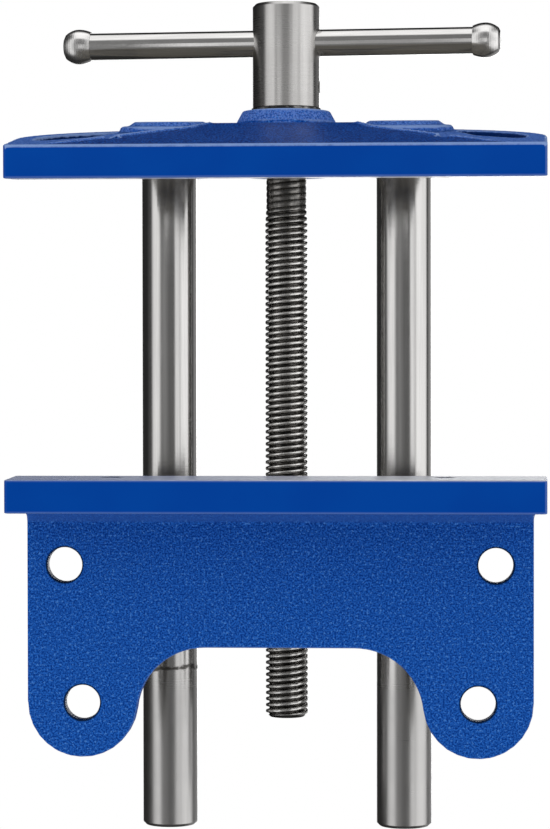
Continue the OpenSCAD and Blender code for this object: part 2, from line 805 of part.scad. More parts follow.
rear_jaw_casting();
screw_nut();
nut_set_screw();
front_jaw_casting();
guide_rod(-1);  // guide_rod_left
guide_rod(1);  // guide_rod_right
rod_pin(-1);  // rod_pin_left
rod_pin(1);  // rod_pin_right
lead_screw();
screw_hub();
hub_pin();
thrust_washer();
retaining_washer();
retaining_ring();
handle_bar();
handle_knob(-1);  // handle_knob_left
handle_knob(1);  // handle_knob_right
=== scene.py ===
# Looks of a woodworking vise: painted sand castings, ground rods, a cut screw thread, turned hub and handle.
# Metres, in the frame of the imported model: X along the jaws, Y from the handle to the bench, Z up.
import bpy
import math
import numpy as np
from mathutils import Matrix, Vector


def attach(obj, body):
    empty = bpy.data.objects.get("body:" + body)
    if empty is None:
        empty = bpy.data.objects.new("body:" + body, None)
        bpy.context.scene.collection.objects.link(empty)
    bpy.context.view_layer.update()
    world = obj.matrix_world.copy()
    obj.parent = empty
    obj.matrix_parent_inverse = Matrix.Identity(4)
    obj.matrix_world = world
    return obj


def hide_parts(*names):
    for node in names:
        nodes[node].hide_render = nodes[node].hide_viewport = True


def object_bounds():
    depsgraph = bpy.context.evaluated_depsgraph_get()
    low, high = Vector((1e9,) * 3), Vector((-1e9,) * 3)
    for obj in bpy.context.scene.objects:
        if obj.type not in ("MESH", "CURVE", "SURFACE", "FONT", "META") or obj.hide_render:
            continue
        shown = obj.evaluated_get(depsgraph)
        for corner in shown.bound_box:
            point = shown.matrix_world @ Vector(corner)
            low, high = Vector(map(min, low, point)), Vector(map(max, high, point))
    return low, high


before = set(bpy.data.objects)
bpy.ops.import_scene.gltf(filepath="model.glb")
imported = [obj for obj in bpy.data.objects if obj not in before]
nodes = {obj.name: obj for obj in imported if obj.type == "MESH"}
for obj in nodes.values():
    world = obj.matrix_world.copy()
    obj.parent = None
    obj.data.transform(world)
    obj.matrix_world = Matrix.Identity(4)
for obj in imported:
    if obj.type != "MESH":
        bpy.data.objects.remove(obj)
cad_low, cad_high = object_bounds()
scene = bpy.context.scene
scene.view_settings.view_transform = "Standard"

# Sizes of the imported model, in millimetres
MM = 0.001


def box(node):
    """The lowest and highest corner of a CAD node's box."""
    corners = [Vector(corner) / MM for corner in nodes[node].bound_box]
    return [[pick(corner[axis] for corner in corners) for axis in range(3)] for pick in (min, max)]


rod_low, rod_high = box("guide_rod_right")
screw_low, screw_high = box("lead_screw")
AXIS_Z = (rod_low[2] + rod_high[2]) / 2  # of the screw and of both rods

ROD_X, ROD_R = (rod_low[0] + rod_high[0]) / 2, (rod_high[0] - rod_low[0]) / 2
ROD_FRONT, ROD_BACK = rod_low[1], rod_high[1]
ROD_CHAMFER, ROD_SOFT_R = 1.0, 0.22

SPIGOT_Y, SCREW_END = screw_low[1], screw_high[1]
SPIGOT_R, SPIGOT_CHAMFER = 5.5, 0.5
SHOULDER_Y = -168.5
GROOVE_FRONT, GROOVE_BACK, GROOVE_R = -149.9, -148.8, 6.5
NECK_Y, NECK_R, NECK_DEPTH = -146.3, 6.6, 0.14
THREAD_Y, SCREW_R = -136.7, 7.0
PITCH, LEAD, DEPTH = 2.0, 4.0, 1.15
STARTS = round(LEAD / PITCH)
RUN_IN, RUN_OUT = 6.0, 1.4  # lengths over which the thread comes in and fades out

CHEEK_X, CHEEK_Z = 51.5, 9.5  # holes for wooden cheeks in both clamping faces
BOLT_HOLES = [(67.7, -21.7), (62.2, 21.7)]  # X and Y on each side of the plate
JAW_TOP_Z, JAW_FACE_Y = 29.5, -151.7  # upper edge of the front jaw's outer side
FACE_SLOPE = math.tan(math.radians(7.1))

# Camera, almost straight down: the handle is at the top of the picture, the user's left on its right
CAMERA_AT = Vector((-0.0472552, -0.0866978, 0.8882011))
CAMERA_TO = Vector((0.001322, -0.068966, 0))
CAMERA_UP = Vector((0, -1, 0))
CAMERA_LENS, SENSOR_WIDTH, CLIP_END = 123.406, 36, 50
CAMERA_ROLL = -0.0785  # degrees

camera_data = bpy.data.cameras.new("camera")
camera = bpy.data.objects.new("camera", camera_data)
scene.collection.objects.link(camera)
scene.camera = camera


def aim(at, to, up, roll):
    back = (at - to).normalized()
    right = up.cross(back).normalized()
    true_up = back.cross(right)
    turned = Matrix((right, true_up, back)).transposed().to_4x4()
    return Matrix.Translation(at) @ turned @ Matrix.Rotation(math.radians(roll), 4, "Z")


camera.matrix_world = aim(CAMERA_AT, CAMERA_TO, CAMERA_UP, CAMERA_ROLL)
camera_data.lens = CAMERA_LENS
camera_data.sensor_width = SENSOR_WIDTH
camera_data.clip_end = CLIP_END


# Node helpers
class Graph:
    """Short calls for making the nodes of one shader."""

    def __init__(self, tree):
        self.tree = tree
        tree.nodes.clear()

    def add(self, kind, inputs=None, **settings):
        node = self.tree.nodes.new(kind)
        for key, value in settings.items():
            setattr(node, key, value)
        for key, value in (inputs or {}).items():
            self.put(node.inputs[key], value)
        return node

    def put(self, socket, value):
        if isinstance(value, bpy.types.NodeSocket):
            self.tree.links.new(value, socket)
        elif socket.type == "RGBA":
            socket.default_value = (*value, 1)
        else:
            socket.default_value = value

    def parts(self, vector):
        split = self.add("ShaderNodeSeparateXYZ", {0: vector})
        return split.outputs[0], split.outputs[1], split.outputs[2]

    def math(self, operation, *values):
        node = self.add("ShaderNodeMath", operation=operation)
        for socket, value in zip(node.inputs, values):
            self.put(socket, value)
        return node.outputs[0]

    def times(self, value, *factors):
        for factor in factors:
            value = self.math("MULTIPLY", value, factor)
        return value

    def distance(self, a, b):
        return self.math("SQRT", self.math("MULTIPLY_ADD", a, a, self.math("MULTIPLY", b, b)))

    def swing(self, value, depth, middle=0.0):
        """Carries 0..1 over to a range depth wide round middle."""
        return self.math("MULTIPLY_ADD", value, depth, middle - depth / 2)

    def span(self, value, low, high, to_low=0.0, to_high=1.0, smooth=True):
        """Carries low..high over to to_low..to_high, held at both ends."""
        node = self.add("ShaderNodeMapRange", interpolation_type="SMOOTHSTEP" if smooth else "LINEAR")
        for socket, number in zip(node.inputs, (value, low, high, to_low, to_high)):
            self.put(socket, number)
        return node.outputs[0]

    def mix(self, share, a, b):
        node = self.add("ShaderNodeMix", data_type="RGBA")
        for index, value in ((0, share), (6, a), (7, b)):
            self.put(node.inputs[index], value)
        return node.outputs[2]

    def noise(self, vector, scale, detail, roughness, squeeze=None):
        if squeeze:
            squeezed = self.add("ShaderNodeVectorMath", {0: vector, 1: squeeze}, operation="MULTIPLY")
            vector = squeezed.outputs[0]
        values = {"Vector": vector, "Scale": scale, "Detail": detail, "Roughness": roughness}
        return self.add("ShaderNodeTexNoise", values).outputs[0]

    def bump(self, height, strength, distance):
        values = {"Height": height, "Strength": strength, "Distance": distance}
        return self.add("ShaderNodeBump", values).outputs[0]

    def grey_ramp(self, value, stops):
        node = self.add("ShaderNodeValToRGB", {0: value})
        while len(node.color_ramp.elements) < len(stops):
            node.color_ramp.elements.new(1)
        for element, (at, shade) in zip(node.color_ramp.elements, stops):
            element.position = at
            element.color = (shade, shade, shade, 1)
        return node.outputs[0]


def material(name):
    mat = bpy.data.materials.new(name)
    mat.use_nodes = True
    graph = Graph(mat.node_tree)
    out = graph.add("ShaderNodeOutputMaterial")
    shader = graph.add("ShaderNodeBsdfPrincipled")
    graph.tree.links.new(shader.outputs[0], out.inputs[0])
    place = graph.add("ShaderNodeTexCoord").outputs["Object"]
    return mat, graph, shader, place


# Painted castings

# Colours are linear. A FADE holds the two values between which a zone comes in, and a SPAN also what they
# are carried over to. Places in them are in metres, and parts of a direction have no unit.
# A noise is given as its scale, detail, roughness and, for some, how it is squeezed along X, Y and Z.
SMOOTH_PAINT = (0.0, 0.055, 0.365), (0.0, 0.061, 0.383)
SANDY_PAINT = (0.0, 0.036, 0.26), (0.02, 0.145, 0.6)
GLINT_SPECK_PAINT = (0.08, 0.27, 0.74)
FILLET_HIGHLIGHT_PAINT = (0.025, 0.1, 0.42)
RIM_HIGHLIGHT_PAINT = (0.15, 0.28, 0.74)
PANEL_SHADE_PAINT = (0.0, 0.012, 0.13), (0.012, 0.105, 0.48)
POCKET_SHADE_PAINT = (0.0, 0.015, 0.11)
WORN_HIGHLIT_PAINT = (0.25, 0.38, 0.72)
CORNER_SHADE_PAINT = (0.0, 0.025, 0.13)
HOLE_SHADE_PAINT = (0.0, 0.008, 0.035)
BARE_IRON_AND_REFLECTION = (0.38, 0.44, 0.66), (0.95, 0.95, 0.97)
DULL_IRON = (0.12, 0.14, 0.2)
CHEEK_HOLE_SHADE = (0.01, 0.02, 0.06)
MIRRORED_PAINT = (0.21, 0.195, 0.165)
SPECULAR_LEVEL, SPECULAR_TINT = 0.1, (0.2, 0.5, 1, 1)

GRAIN, GRAIN_FADE, GRAIN_SHARE = (1800, 2, 0.6), (0.36, 0.66), 0.75
LUMPS, LUMPS_SHARE = (330, 2, 0.5), 0.35
DRIFT, DRIFT_FADE = (42, 2, 0.5), (0.35, 0.65)
GLINT_SPECKS, GLINT_SPECKS_FADE, GLINT_SPECKS_SHARE = (1250, 1, 0.5), (0.6, 0.7), 0.75
RELIEF_SMOOTH, RELIEF_SANDY, RELIEF_HEIGHT = 0.02, 0.9, 0.0005
ROUGHNESS_SMOOTH, ROUGHNESS_SANDY = 0.34, 0.42
TOP_FADE = (0.0282, 0.029)  # heights where the grain ends in the smooth top face

# The bare clamping face: what reaches its plane, from the step at its foot to the jaw's top
PAD_Z = 0.0285  # height at which the plane's Y is given
PAD_PLANE_FADE, PAD_FOOT_FADE = (-0.0004, -0.00015), (-0.0022, -0.0016)
PAD_TOP_SOFT = 0.5  # millimetres over which the face ends at the top
IRON_REFLECTION_FADE = (0.08, -0.06)
CLOUDS, CLOUDS_FADE, CLOUDS_SHARE = (500, 3, 0.6, (1, 1, 6)), (0.3, 0.7), 0.3
CHEEK_HOLE_FADE, CHEEK_HOLE_SHADE_SHARE = (0.0042, 0.0028), 0.8
BARE_METALLIC = 0.05

# Worn paint and painted highlight on edges, painted shade in corners: by how far a point stands out in
# millimetres
WORN_HIGHLIT_FADE, WORN_HIGHLIT_SHARE = (0.035, 0.11), 0.3
WORN_HIGHLIT_PATCHES, WORN_HIGHLIT_PATCH_DEPTH = (420, 3, 0.6), 0.06
WORN_HIGHLIT_TILT_FADE, WORN_HIGHLIT_SIDE_FADE = (0.95, 0.8), (0.6, 0.3)
RIM_WORN_HIGHLIT_SHARE, RIM_TILT_FADE, RIM_OUTWARD_FADE = 0.95, (0.992, 0.95), (0, -0.1)
CORNER_FADE, CORNER_SHADE_SHARE = (-0.03, -0.12), 0.6

# The front jaw's outer side
OUTWARD_FADE = (-0.15, -0.4)
COARSE, RIM_GLINT_FADE, RIM_GLINT_SHARES = (1700, 2, 0.6, (1, 1, 0.4)), (0.38, 0.64), (0.1, 0.85)
PANEL_UPPER, PANEL_LOWER = (1.027, 0.0418), (0.303, 0.0328)  # half width: the first times Z, plus the second
PANEL_SIDE_FADE, PANEL_FOOT_FADE = (0.0006, 0.0018), (-0.0288, -0.0278)
POCKET_DEPTH_FADES = (0.0002, 0.0006), (0.0078, 0.007)
POCKET_X_FADES = (0.043, 0.046), (0.0795, 0.0785)
POCKET_TOP_FADE, POCKET_TILT_FADE, POCKET_SHADE_SHARE = (0.024, 0.022), (-0.3, -0.1), 0.85
OUTWARD_RELIEF, OUTWARD_ROUGHNESS = -0.75, 0.06

# Painted highlight on the fillet between rear jaw and plate, and painted shade on the walls of the bolt holes
FILLET_Y_FADE, FILLET_Z_FADES = (-0.0348, -0.0358), ((-0.002, -0.001), (0.006, 0.005))
FILLET_HIGHLIGHT_SHARE = 0.75
HOLE_FADE, HOLE_SHADE_SHARE = (0.0062, 0.0058), 0.92


def bare_zone(graph, y, z, pad_y, pad_lean, pad_top, side):
    """Share of ground metal at the clamping face, whose plane lies at pad_y and leans by pad_lean degrees."""
    lean = math.tan(math.radians(pad_lean))
    plane = graph.math("MULTIPLY_ADD", z, lean, pad_y * MM - PAD_Z * lean)
    gap = graph.math("MULTIPLY", graph.math("SUBTRACT", y, plane), side)
    top = graph.span(z, pad_top * MM, (pad_top - PAD_TOP_SOFT) * MM)
    return graph.times(graph.span(gap, *PAD_PLANE_FADE), graph.span(z, *PAD_FOOT_FADE), top)


def outer_side(graph, place, to_z, outward, paint):
    """The front jaw's outer side: painted highlight on rim and bosses, painted shade on the raised panel,
    deepest in the pockets.
    """
    x, y, z = graph.parts(place)
    across = graph.math("ABSOLUTE", x)
    upper = graph.math("MULTIPLY_ADD", z, *PANEL_UPPER)
    lower = graph.math("MULTIPLY_ADD", z, *PANEL_LOWER)
    inside = graph.math("SUBTRACT", graph.math("MAXIMUM", upper, lower), across)
    # painted shade darkens the raised panel
    raised_panel_shade = graph.times(outward, graph.span(inside, *PANEL_SIDE_FADE), graph.span(z, *PANEL_FOOT_FADE))
    face_y = graph.math("MULTIPLY_ADD", z, FACE_SLOPE, (JAW_FACE_Y - JAW_TOP_Z * FACE_SLOPE) * MM)
    deep = graph.math("SUBTRACT", y, face_y)
    # painted shade, darkest, in the recessed pockets
    pocket_shade = graph.times(
        POCKET_SHADE_SHARE, *(graph.span(deep, *fade) for fade in POCKET_DEPTH_FADES),
        *(graph.span(across, *fade) for fade in POCKET_X_FADES),
        graph.span(z, *POCKET_TOP_FADE), graph.span(to_z, *POCKET_TILT_FADE))
    coarse = graph.noise(place, *COARSE)
    # painted highlight with speckled glints on the rim and bosses
    light = graph.math("MULTIPLY", outward, graph.span(coarse, *RIM_GLINT_FADE, *RIM_GLINT_SHARES))
    paint = graph.mix(light, paint, RIM_HIGHLIGHT_PAINT)
    paint = graph.mix(raised_panel_shade, paint, graph.mix(graph.span(coarse, *GRAIN_FADE), *PANEL_SHADE_PAINT))
    return graph.mix(pocket_shade, paint, POCKET_SHADE_PAINT)


def plate_side(graph, place, paint):
    """The paint with a painted highlight on the fillet behind the rear jaw, and the share of painted shade on
    the bolt holes' walls.
    """
    x, y, z = graph.parts(place)
    # painted highlight along the fillet's curve
    fillet_highlight = graph.times(
        FILLET_HIGHLIGHT_SHARE, graph.span(y, *FILLET_Y_FADE), *(graph.span(z, *fade) for fade in FILLET_Z_FADES))
    paint = graph.mix(fillet_highlight, paint, FILLET_HIGHLIGHT_PAINT)
    away = 1.0
    for hole_x, hole_y in BOLT_HOLES:
        dx = graph.math("SUBTRACT", graph.math("ABSOLUTE", x), hole_x * MM)
        dy = graph.math("SUBTRACT", y, hole_y * MM)
        away = graph.math("MINIMUM", away, graph.distance(dx, dy))
    return paint, graph.span(away, *HOLE_FADE, 0, HOLE_SHADE_SHARE)


def wear_highlight_and_shade(graph, place, facing, outer, paint):
    """Edges are lighter, partly worn paint and partly painted highlight, and corners darker as painted shade;
    the outer side's upper edge is worn and highlit most.
    """
    to_x, to_y, to_z = facing
    bend = graph.add("ShaderNodeAttribute", attribute_name="bend").outputs["Fac"]
    patches = graph.swing(graph.noise(place, *WORN_HIGHLIT_PATCHES), WORN_HIGHLIT_PATCH_DEPTH)
    share = graph.span(to_z, *WORN_HIGHLIT_TILT_FADE, 0, WORN_HIGHLIT_SHARE)
    if outer:
        tilted = graph.span(to_z, *RIM_TILT_FADE, 0, RIM_WORN_HIGHLIT_SHARE)
        rim = graph.math("MULTIPLY", graph.span(to_y, *RIM_OUTWARD_FADE), tilted)
        share = graph.math("MAXIMUM", share, rim)
    edge = graph.span(graph.math("ADD", bend, patches), *WORN_HIGHLIT_FADE)
    worn = graph.times(edge, share, graph.span(to_x, *WORN_HIGHLIT_SIDE_FADE))
    # lighter edges: worn paint and a painted highlight
    paint = graph.mix(worn, paint, WORN_HIGHLIT_PAINT)
    # painted shade in the corners
    return graph.mix(graph.span(bend, *CORNER_FADE, 0, CORNER_SHADE_SHARE), paint, CORNER_SHADE_PAINT)


def ground_iron(graph, place):
    """Bare metal of the clamping faces with a painted reflection, lighter towards -X, and painted shade in
    the mouths of the cheek holes.
    """
    x, y, z = graph.parts(place)
    # painted reflection: the bare iron goes from lavender grey to near white towards -X
    iron = graph.mix(graph.span(x, *IRON_REFLECTION_FADE), *BARE_IRON_AND_REFLECTION)
    iron = graph.mix(graph.span(graph.noise(place, *CLOUDS), *CLOUDS_FADE, 0, CLOUDS_SHARE), iron, DULL_IRON)
    # painted shade in the mouths of the cheek holes
    dx = graph.math("SUBTRACT", graph.math("ABSOLUTE", x), CHEEK_X * MM)
    dz = graph.math("SUBTRACT", z, CHEEK_Z * MM)
    hole = graph.span(graph.distance(dx, dz), *CHEEK_HOLE_FADE, 0, CHEEK_HOLE_SHADE_SHARE)
    return graph.mix(hole, iron, CHEEK_HOLE_SHADE)


def casting(name, outer, **pad):
    """Blue satin paint over sand-cast iron, with a ground clamping face. Only the front jaw is outer."""
    mat, graph, shader, place = material(name)
    x, y, z = graph.parts(place)
    facing = graph.parts(graph.add("ShaderNodeNewGeometry").outputs["Normal"])
    bare = bare_zone(graph, y, z, **pad)
    # the top faces are smooth, the rest keeps the grain of the sand
    rough_zone = graph.math("SUBTRACT", 1.0, graph.math("MAXIMUM", graph.span(z, *TOP_FADE), bare))
    grain = graph.noise(place, *GRAIN)
    lumps = graph.math("MULTIPLY", graph.noise(place, *LUMPS), LUMPS_SHARE)
    height = graph.math("MULTIPLY_ADD", grain, GRAIN_SHARE, lumps)
    relief = graph.span(rough_zone, 0, 1, RELIEF_SMOOTH, RELIEF_SANDY, False)
    roughness = graph.span(rough_zone, 0, 1, ROUGHNESS_SMOOTH, ROUGHNESS_SANDY, False)
    smooth = graph.mix(graph.span(graph.noise(place, *DRIFT), *DRIFT_FADE), *SMOOTH_PAINT)
    sandy = graph.mix(graph.span(grain, *GRAIN_FADE), *SANDY_PAINT)
    # painted glints: light-blue specks where bumps would catch the light
    glint_specks = graph.span(graph.noise(place, *GLINT_SPECKS), *GLINT_SPECKS_FADE, 0, GLINT_SPECKS_SHARE)
    sandy = graph.mix(glint_specks, sandy, GLINT_SPECK_PAINT)
    paint = graph.mix(rough_zone, smooth, sandy)
    if outer:
        outward = graph.span(facing[1], *OUTWARD_FADE)
        paint = outer_side(graph, place, facing[2], outward, paint)
        relief = graph.math("MULTIPLY_ADD", graph.math("MULTIPLY", outward, relief), OUTWARD_RELIEF, relief)
        roughness = graph.math("MULTIPLY_ADD", outward, OUTWARD_ROUGHNESS, roughness)
        paint = wear_highlight_and_shade(graph, place, facing, outer, paint)
    else:
        paint, hole_shade = plate_side(graph, place, paint)
        # painted shade darkens the bolt holes' walls
        paint = graph.mix(hole_shade, wear_highlight_and_shade(graph, place, facing, outer, paint), HOLE_SHADE_PAINT)
    colour = graph.mix(bare, paint, ground_iron(graph, place))
    # bright metal takes the castings' tone but little of their colour
    mirrored = graph.add("ShaderNodeLightPath").outputs["Is Glossy Ray"]
    graph.put(shader.inputs["Base Color"], graph.mix(mirrored, colour, MIRRORED_PAINT))
    graph.put(shader.inputs["Metallic"], graph.math("MULTIPLY", bare, BARE_METALLIC))
    graph.put(shader.inputs["Roughness"], roughness)
    graph.put(shader.inputs["Normal"], graph.bump(height, relief, RELIEF_HEIGHT))
    shader.inputs["Specular IOR Level"].default_value = SPECULAR_LEVEL
    shader.inputs["Specular Tint"].default_value = SPECULAR_TINT
    return mat


# Steel
ROUND_SQUEEZE = {"X": (260, 6, 6), "Y": (6, 260, 6)}  # lines round the axis
BROADER = 12  # the broad lines are squeezed this many times less
ALONG_SQUEEZE = {"X": (2.2, 95, 95), "Y": (95, 2.2, 95)}  # lines along the axis
FINE_LINES, FINE_SPREAD = (9, 4, 0.7), 0.10
BROAD_LINES, BROAD_SPREAD = (7, 2, 0.5), 0.12
DRAWN_LINES, DRAWN_FADE, DRAWN_DARK = (6, 3, 0.65), (0.3, 0.7), 0.86
LINES_RELIEF, LINES_HEIGHT = 0.06, 0.00012
BLUR_TURN = 0.25  # quarter turn, so that highlights spread along the axis

DULL_FADE, DULL_SPREAD, DULL_SHARE = (0.0, 0.03), 0.15, 0.5
DULL_STEEL = (0.38, 0.375, 0.37)
GREASE_Y, GREASE_WANDER, GREASE_FADE = 0.0151, 0.004, (0.001, 0.0003)
GREASE_PATH, GREASE_GAPS, GREASE_GAPS_FADE = (130, 3, 0.6), (420, 2, 0.5), (0.3, 0.5)
GREASE, GREASE_SHARE, GREASE_SPREAD = (0.05, 0.046, 0.04), 0.85, 0.2

MOTTLE, MOTTLE_FADE = (420, 4, 0.65), (0.42, 0.68)
MOTTLE_ROUGH_FADE, MOTTLE_SPREAD = (0.3, 0.7), 0.08
MOTTLE_RELIEF, MOTTLE_HEIGHT, MOTTLE_METALLIC = 0.2, 0.0002, 0.9

GRIME, GRIME_FADE, GRIME_STEEL = (260, 4, 0.6), (0.35, 0.65), ((0.04, 0.038, 0.035), (0.2, 0.19, 0.18))
GRIME_ROUGH_SPAN = (0.3, 0.7, 0.34, 0.22)
CREST_STEEL, CREST_FADE = (0.78, 0.77, 0.75), (0.0062, 0.0068)
CREST_RAGGED, CREST_RAGGED_DEPTH = (700, 3, 0.6), 0.0006
CREST_ALONG_SPAN = (-0.140, -0.122, 0.2, 1)  # little worn on the neck, fully on the thread


def rod_wear(graph, place, tone, spread, ring):
    """Duller towards the rod's back end and, with ring, old grease where the rod enters its guide."""
    y = graph.parts(place)[1]
    spread = graph.math("ADD", spread, graph.span(y, *DULL_FADE, 0, DULL_SPREAD))
    tone = graph.mix(graph.span(y, *DULL_FADE, 0, DULL_SHARE), tone, DULL_STEEL)
    if ring:
        wander = graph.swing(graph.noise(place, *GREASE_PATH), GREASE_WANDER, -GREASE_Y)
        off = graph.math("ABSOLUTE", graph.math("ADD", y, wander))
        gaps = graph.span(graph.noise(place, *GREASE_GAPS), *GREASE_GAPS_FADE)
        grease = graph.math("MULTIPLY", graph.span(off, *GREASE_FADE), gaps)
        tone = graph.mix(graph.math("MULTIPLY", grease, GREASE_SHARE), tone, GREASE)
        spread = graph.math("ADD", spread, graph.math("MULTIPLY", grease, GREASE_SPREAD))
    return tone, spread


def steel(name, axis, colour=(0.66, 0.65, 0.64), rough=0.18, blur=0.6, streak=1.0, rod=False, ring=False):
    """Turned or ground steel, with lines round its axis as strong as streak and faint ones along it."""
    mat, graph, shader, place = material(name)
    fine = graph.noise(place, *FINE_LINES, ROUND_SQUEEZE[axis])
    broad = graph.noise(place, *BROAD_LINES, tuple(v / BROADER for v in ROUND_SQUEEZE[axis]))
    drawn = graph.noise(place, *DRAWN_LINES, ALONG_SQUEEZE[axis])
    spread = graph.swing(fine, FINE_SPREAD * streak, rough)
    spread = graph.math("ADD", spread, graph.swing(broad, BROAD_SPREAD * streak))
    tone = graph.mix(graph.span(drawn, *DRAWN_FADE), tuple(c * DRAWN_DARK for c in colour), colour)
    if rod:
        tone, spread = rod_wear(graph, place, tone, spread, ring)
    graph.put(shader.inputs["Base Color"], tone)
    graph.put(shader.inputs["Roughness"], spread)
    graph.put(shader.inputs["Normal"], graph.bump(fine, LINES_RELIEF * streak, LINES_HEIGHT))
    shader.inputs["Metallic"].default_value = 1.0
    shader.inputs["Anisotropic"].default_value = blur
    shader.inputs["Anisotropic Rotation"].default_value = BLUR_TURN
    tangent = graph.add("ShaderNodeTangent", direction_type="RADIAL", axis=axis)
    graph.put(shader.inputs["Tangent"], tangent.outputs[0])
    return mat


def dark_steel(name, colour, rough, gain):
    """Blackened steel with a mottle of oil that is lighter by gain."""
    mat, graph, shader, place = material(name)
    mottle = graph.noise(place, *MOTTLE)
    light = tuple(c * gain for c in colour)
    graph.put(shader.inputs["Base Color"], graph.mix(graph.span(mottle, *MOTTLE_FADE), colour, light))
    spread = graph.span(mottle, *MOTTLE_ROUGH_FADE, rough + MOTTLE_SPREAD, rough - MOTTLE_SPREAD)
    graph.put(shader.inputs["Roughness"], spread)
    graph.put(shader.inputs["Normal"], graph.bump(mottle, MOTTLE_RELIEF, MOTTLE_HEIGHT))
    shader.inputs["Metallic"].default_value = MOTTLE_METALLIC
    return mat


def thread_steel(name):
    """Dark oily thread whose crests are rubbed bright."""
    mat, graph, shader, place = material(name)
    x, y, z = graph.parts(place)
    radius = graph.distance(x, graph.math("SUBTRACT", z, AXIS_Z * MM))
    ragged = graph.swing(graph.noise(place, *CREST_RAGGED), CREST_RAGGED_DEPTH)
    crest = graph.span(graph.math("ADD", radius, ragged), *CREST_FADE)
    worn = graph.math("MULTIPLY", crest, graph.span(y, *CREST_ALONG_SPAN))
    grime = graph.noise(place, *GRIME)
    tone = graph.mix(graph.span(grime, *GRIME_FADE), *GRIME_STEEL)
    graph.put(shader.inputs["Base Color"], graph.mix(worn, tone, CREST_STEEL))
    graph.put(shader.inputs["Roughness"], graph.span(grime, *GRIME_ROUGH_SPAN))
    shader.inputs["Metallic"].default_value = 1.0
    return mat


front_paint = casting("front_blue_casting", outer=True, pad_y=-141.3, pad_lean=3, pad_top=28.6, side=1)
rear_paint = casting("rear_blue_casting", outer=False, pad_y=-49.7, pad_lean=0, pad_top=29.6, side=-1)
ROD_LOOK = {"axis": "Y", "rough": 0.16, "blur": 0.35, "rod": True}
rod_steel = steel("ground_rod_steel", **ROD_LOOK)
ringed_rod_steel = steel("ground_rod_steel_with_grease_ring", **ROD_LOOK, ring=True)
hub_steel = steel("turned_hub_steel", "Y", colour=(0.6, 0.59, 0.58), rough=0.28, blur=0.8)
bar_steel = steel("drawn_bar_steel", "X", rough=0.15)
knob_steel = steel("turned_knob_steel", "X", colour=(0.76, 0.75, 0.74), rough=0.26, streak=0.6)
plain_steel = steel("machined_nut_steel", "Y", rough=0.3)
zinc = steel("zinc_washer_steel", "Y", colour=(0.5, 0.52, 0.55), rough=0.4, streak=0.5)
black = dark_steel("blackened_steel", colour=(0.055, 0.053, 0.05), rough=0.42, gain=3.2)
washer_black = dark_steel("oiled_washer_steel", colour=(0.03, 0.03, 0.03), rough=0.4, gain=9)
oily = thread_steel("oiled_thread_steel")

NODE_MATERIALS = {
    "rear_jaw_casting": rear_paint, "front_jaw_casting": front_paint,
    "guide_rod_left": rod_steel, "guide_rod_right": ringed_rod_steel,
    "rod_pin_left": black, "rod_pin_right": black, "retaining_ring": black, "nut_set_screw": black,
    "screw_nut": plain_steel, "hub_pin": plain_steel, "lead_screw": oily, "screw_hub": hub_steel,
    "thrust_washer": washer_black, "retaining_washer": zinc,
    "handle_bar": bar_steel, "handle_knob_left": knob_steel, "handle_knob_right": knob_steel,
}
for node_name, mat in NODE_MATERIALS.items():
    mesh = nodes[node_name].data
    mesh.materials.clear()
    mesh.materials.append(mat)


# Turned meshes, in millimetres
def dress(obj, mat, body, slot, *stands_for):
    obj.data.materials.clear()
    obj.data.materials.append(mat)
    obj.data.polygons.foreach_set("use_smooth", [True] * len(obj.data.polygons))
    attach(obj, body)
    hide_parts(*stands_for)


def place_mesh(name, verts, faces, mat, body, slot, *stands_for):
    mesh = bpy.data.meshes.new(name)
    mesh.from_pydata([Vector(v) * MM for v in verts], [], faces)
    mesh.validate()
    mesh.update()
    obj = bpy.data.objects.new(name, mesh)
    scene.collection.objects.link(obj)
    dress(obj, mat, body, slot, *stands_for)


def on_axis(x0, r, angle, y):
    """A place at radius r and an angle round the line along Y at x0."""
    return x0 + r * math.sin(angle), y, AXIS_Z + r * math.cos(angle)


def lathe(profile, x0, steps):
    """Points (radius, Y) turned round the line along Y at x0. Points of radius 0 close an end."""
    verts, faces, rings = [], [], []
    for r, y in profile:
        count = steps if r else 1
        rings.append(list(range(len(verts), len(verts) + count)))
        verts += [on_axis(x0, r, 2 * math.pi * i / steps, y) for i in range(count)]
    for a, b in zip(rings, rings[1:]):
        for i in range(steps):
            j = (i + 1) % steps
            if len(a) == 1:
                faces.append((a[0], b[i], b[j]))
            elif len(b) == 1:
                faces.append((a[i], b[0], a[j]))
            else:
                faces.append((a[i], b[i], b[j], a[j]))
    return verts, faces


def rounded(points, radius, steps):
    """A profile with a small rounding at every inner corner."""
    out = [points[0]]
    for before, corner, after in zip(points, points[1:], points[2:]):
        corner = Vector(corner)
        start = corner + (Vector(before) - corner).normalized() * radius
        end = corner + (Vector(after) - corner).normalized() * radius
        for t in (i / steps for i in range(steps + 1)):
            out.append(tuple((1 - t) ** 2 * start + 2 * t * (1 - t) * corner + t * t * end))
    return out + [points[-1]]


# Guide rods
ROD_STEPS, ROUNDING_STEPS = 128, 4
ROD = rounded([
    (0, ROD_FRONT), (ROD_R - ROD_CHAMFER, ROD_FRONT), (ROD_R, ROD_FRONT + ROD_CHAMFER),
    (ROD_R, ROD_BACK - ROD_CHAMFER), (ROD_R - ROD_CHAMFER, ROD_BACK), (0, ROD_BACK),
], ROD_SOFT_R, ROUNDING_STEPS)
for side, node, mat in ((-1, "guide_rod_left", rod_steel), (1, "guide_rod_right", ringed_rod_steel)):
    verts, faces = lathe(ROD, side * ROD_X, ROD_STEPS)
    place_mesh(node + "_ground", verts, faces, mat, "front_jaw", "machined_steel", node)

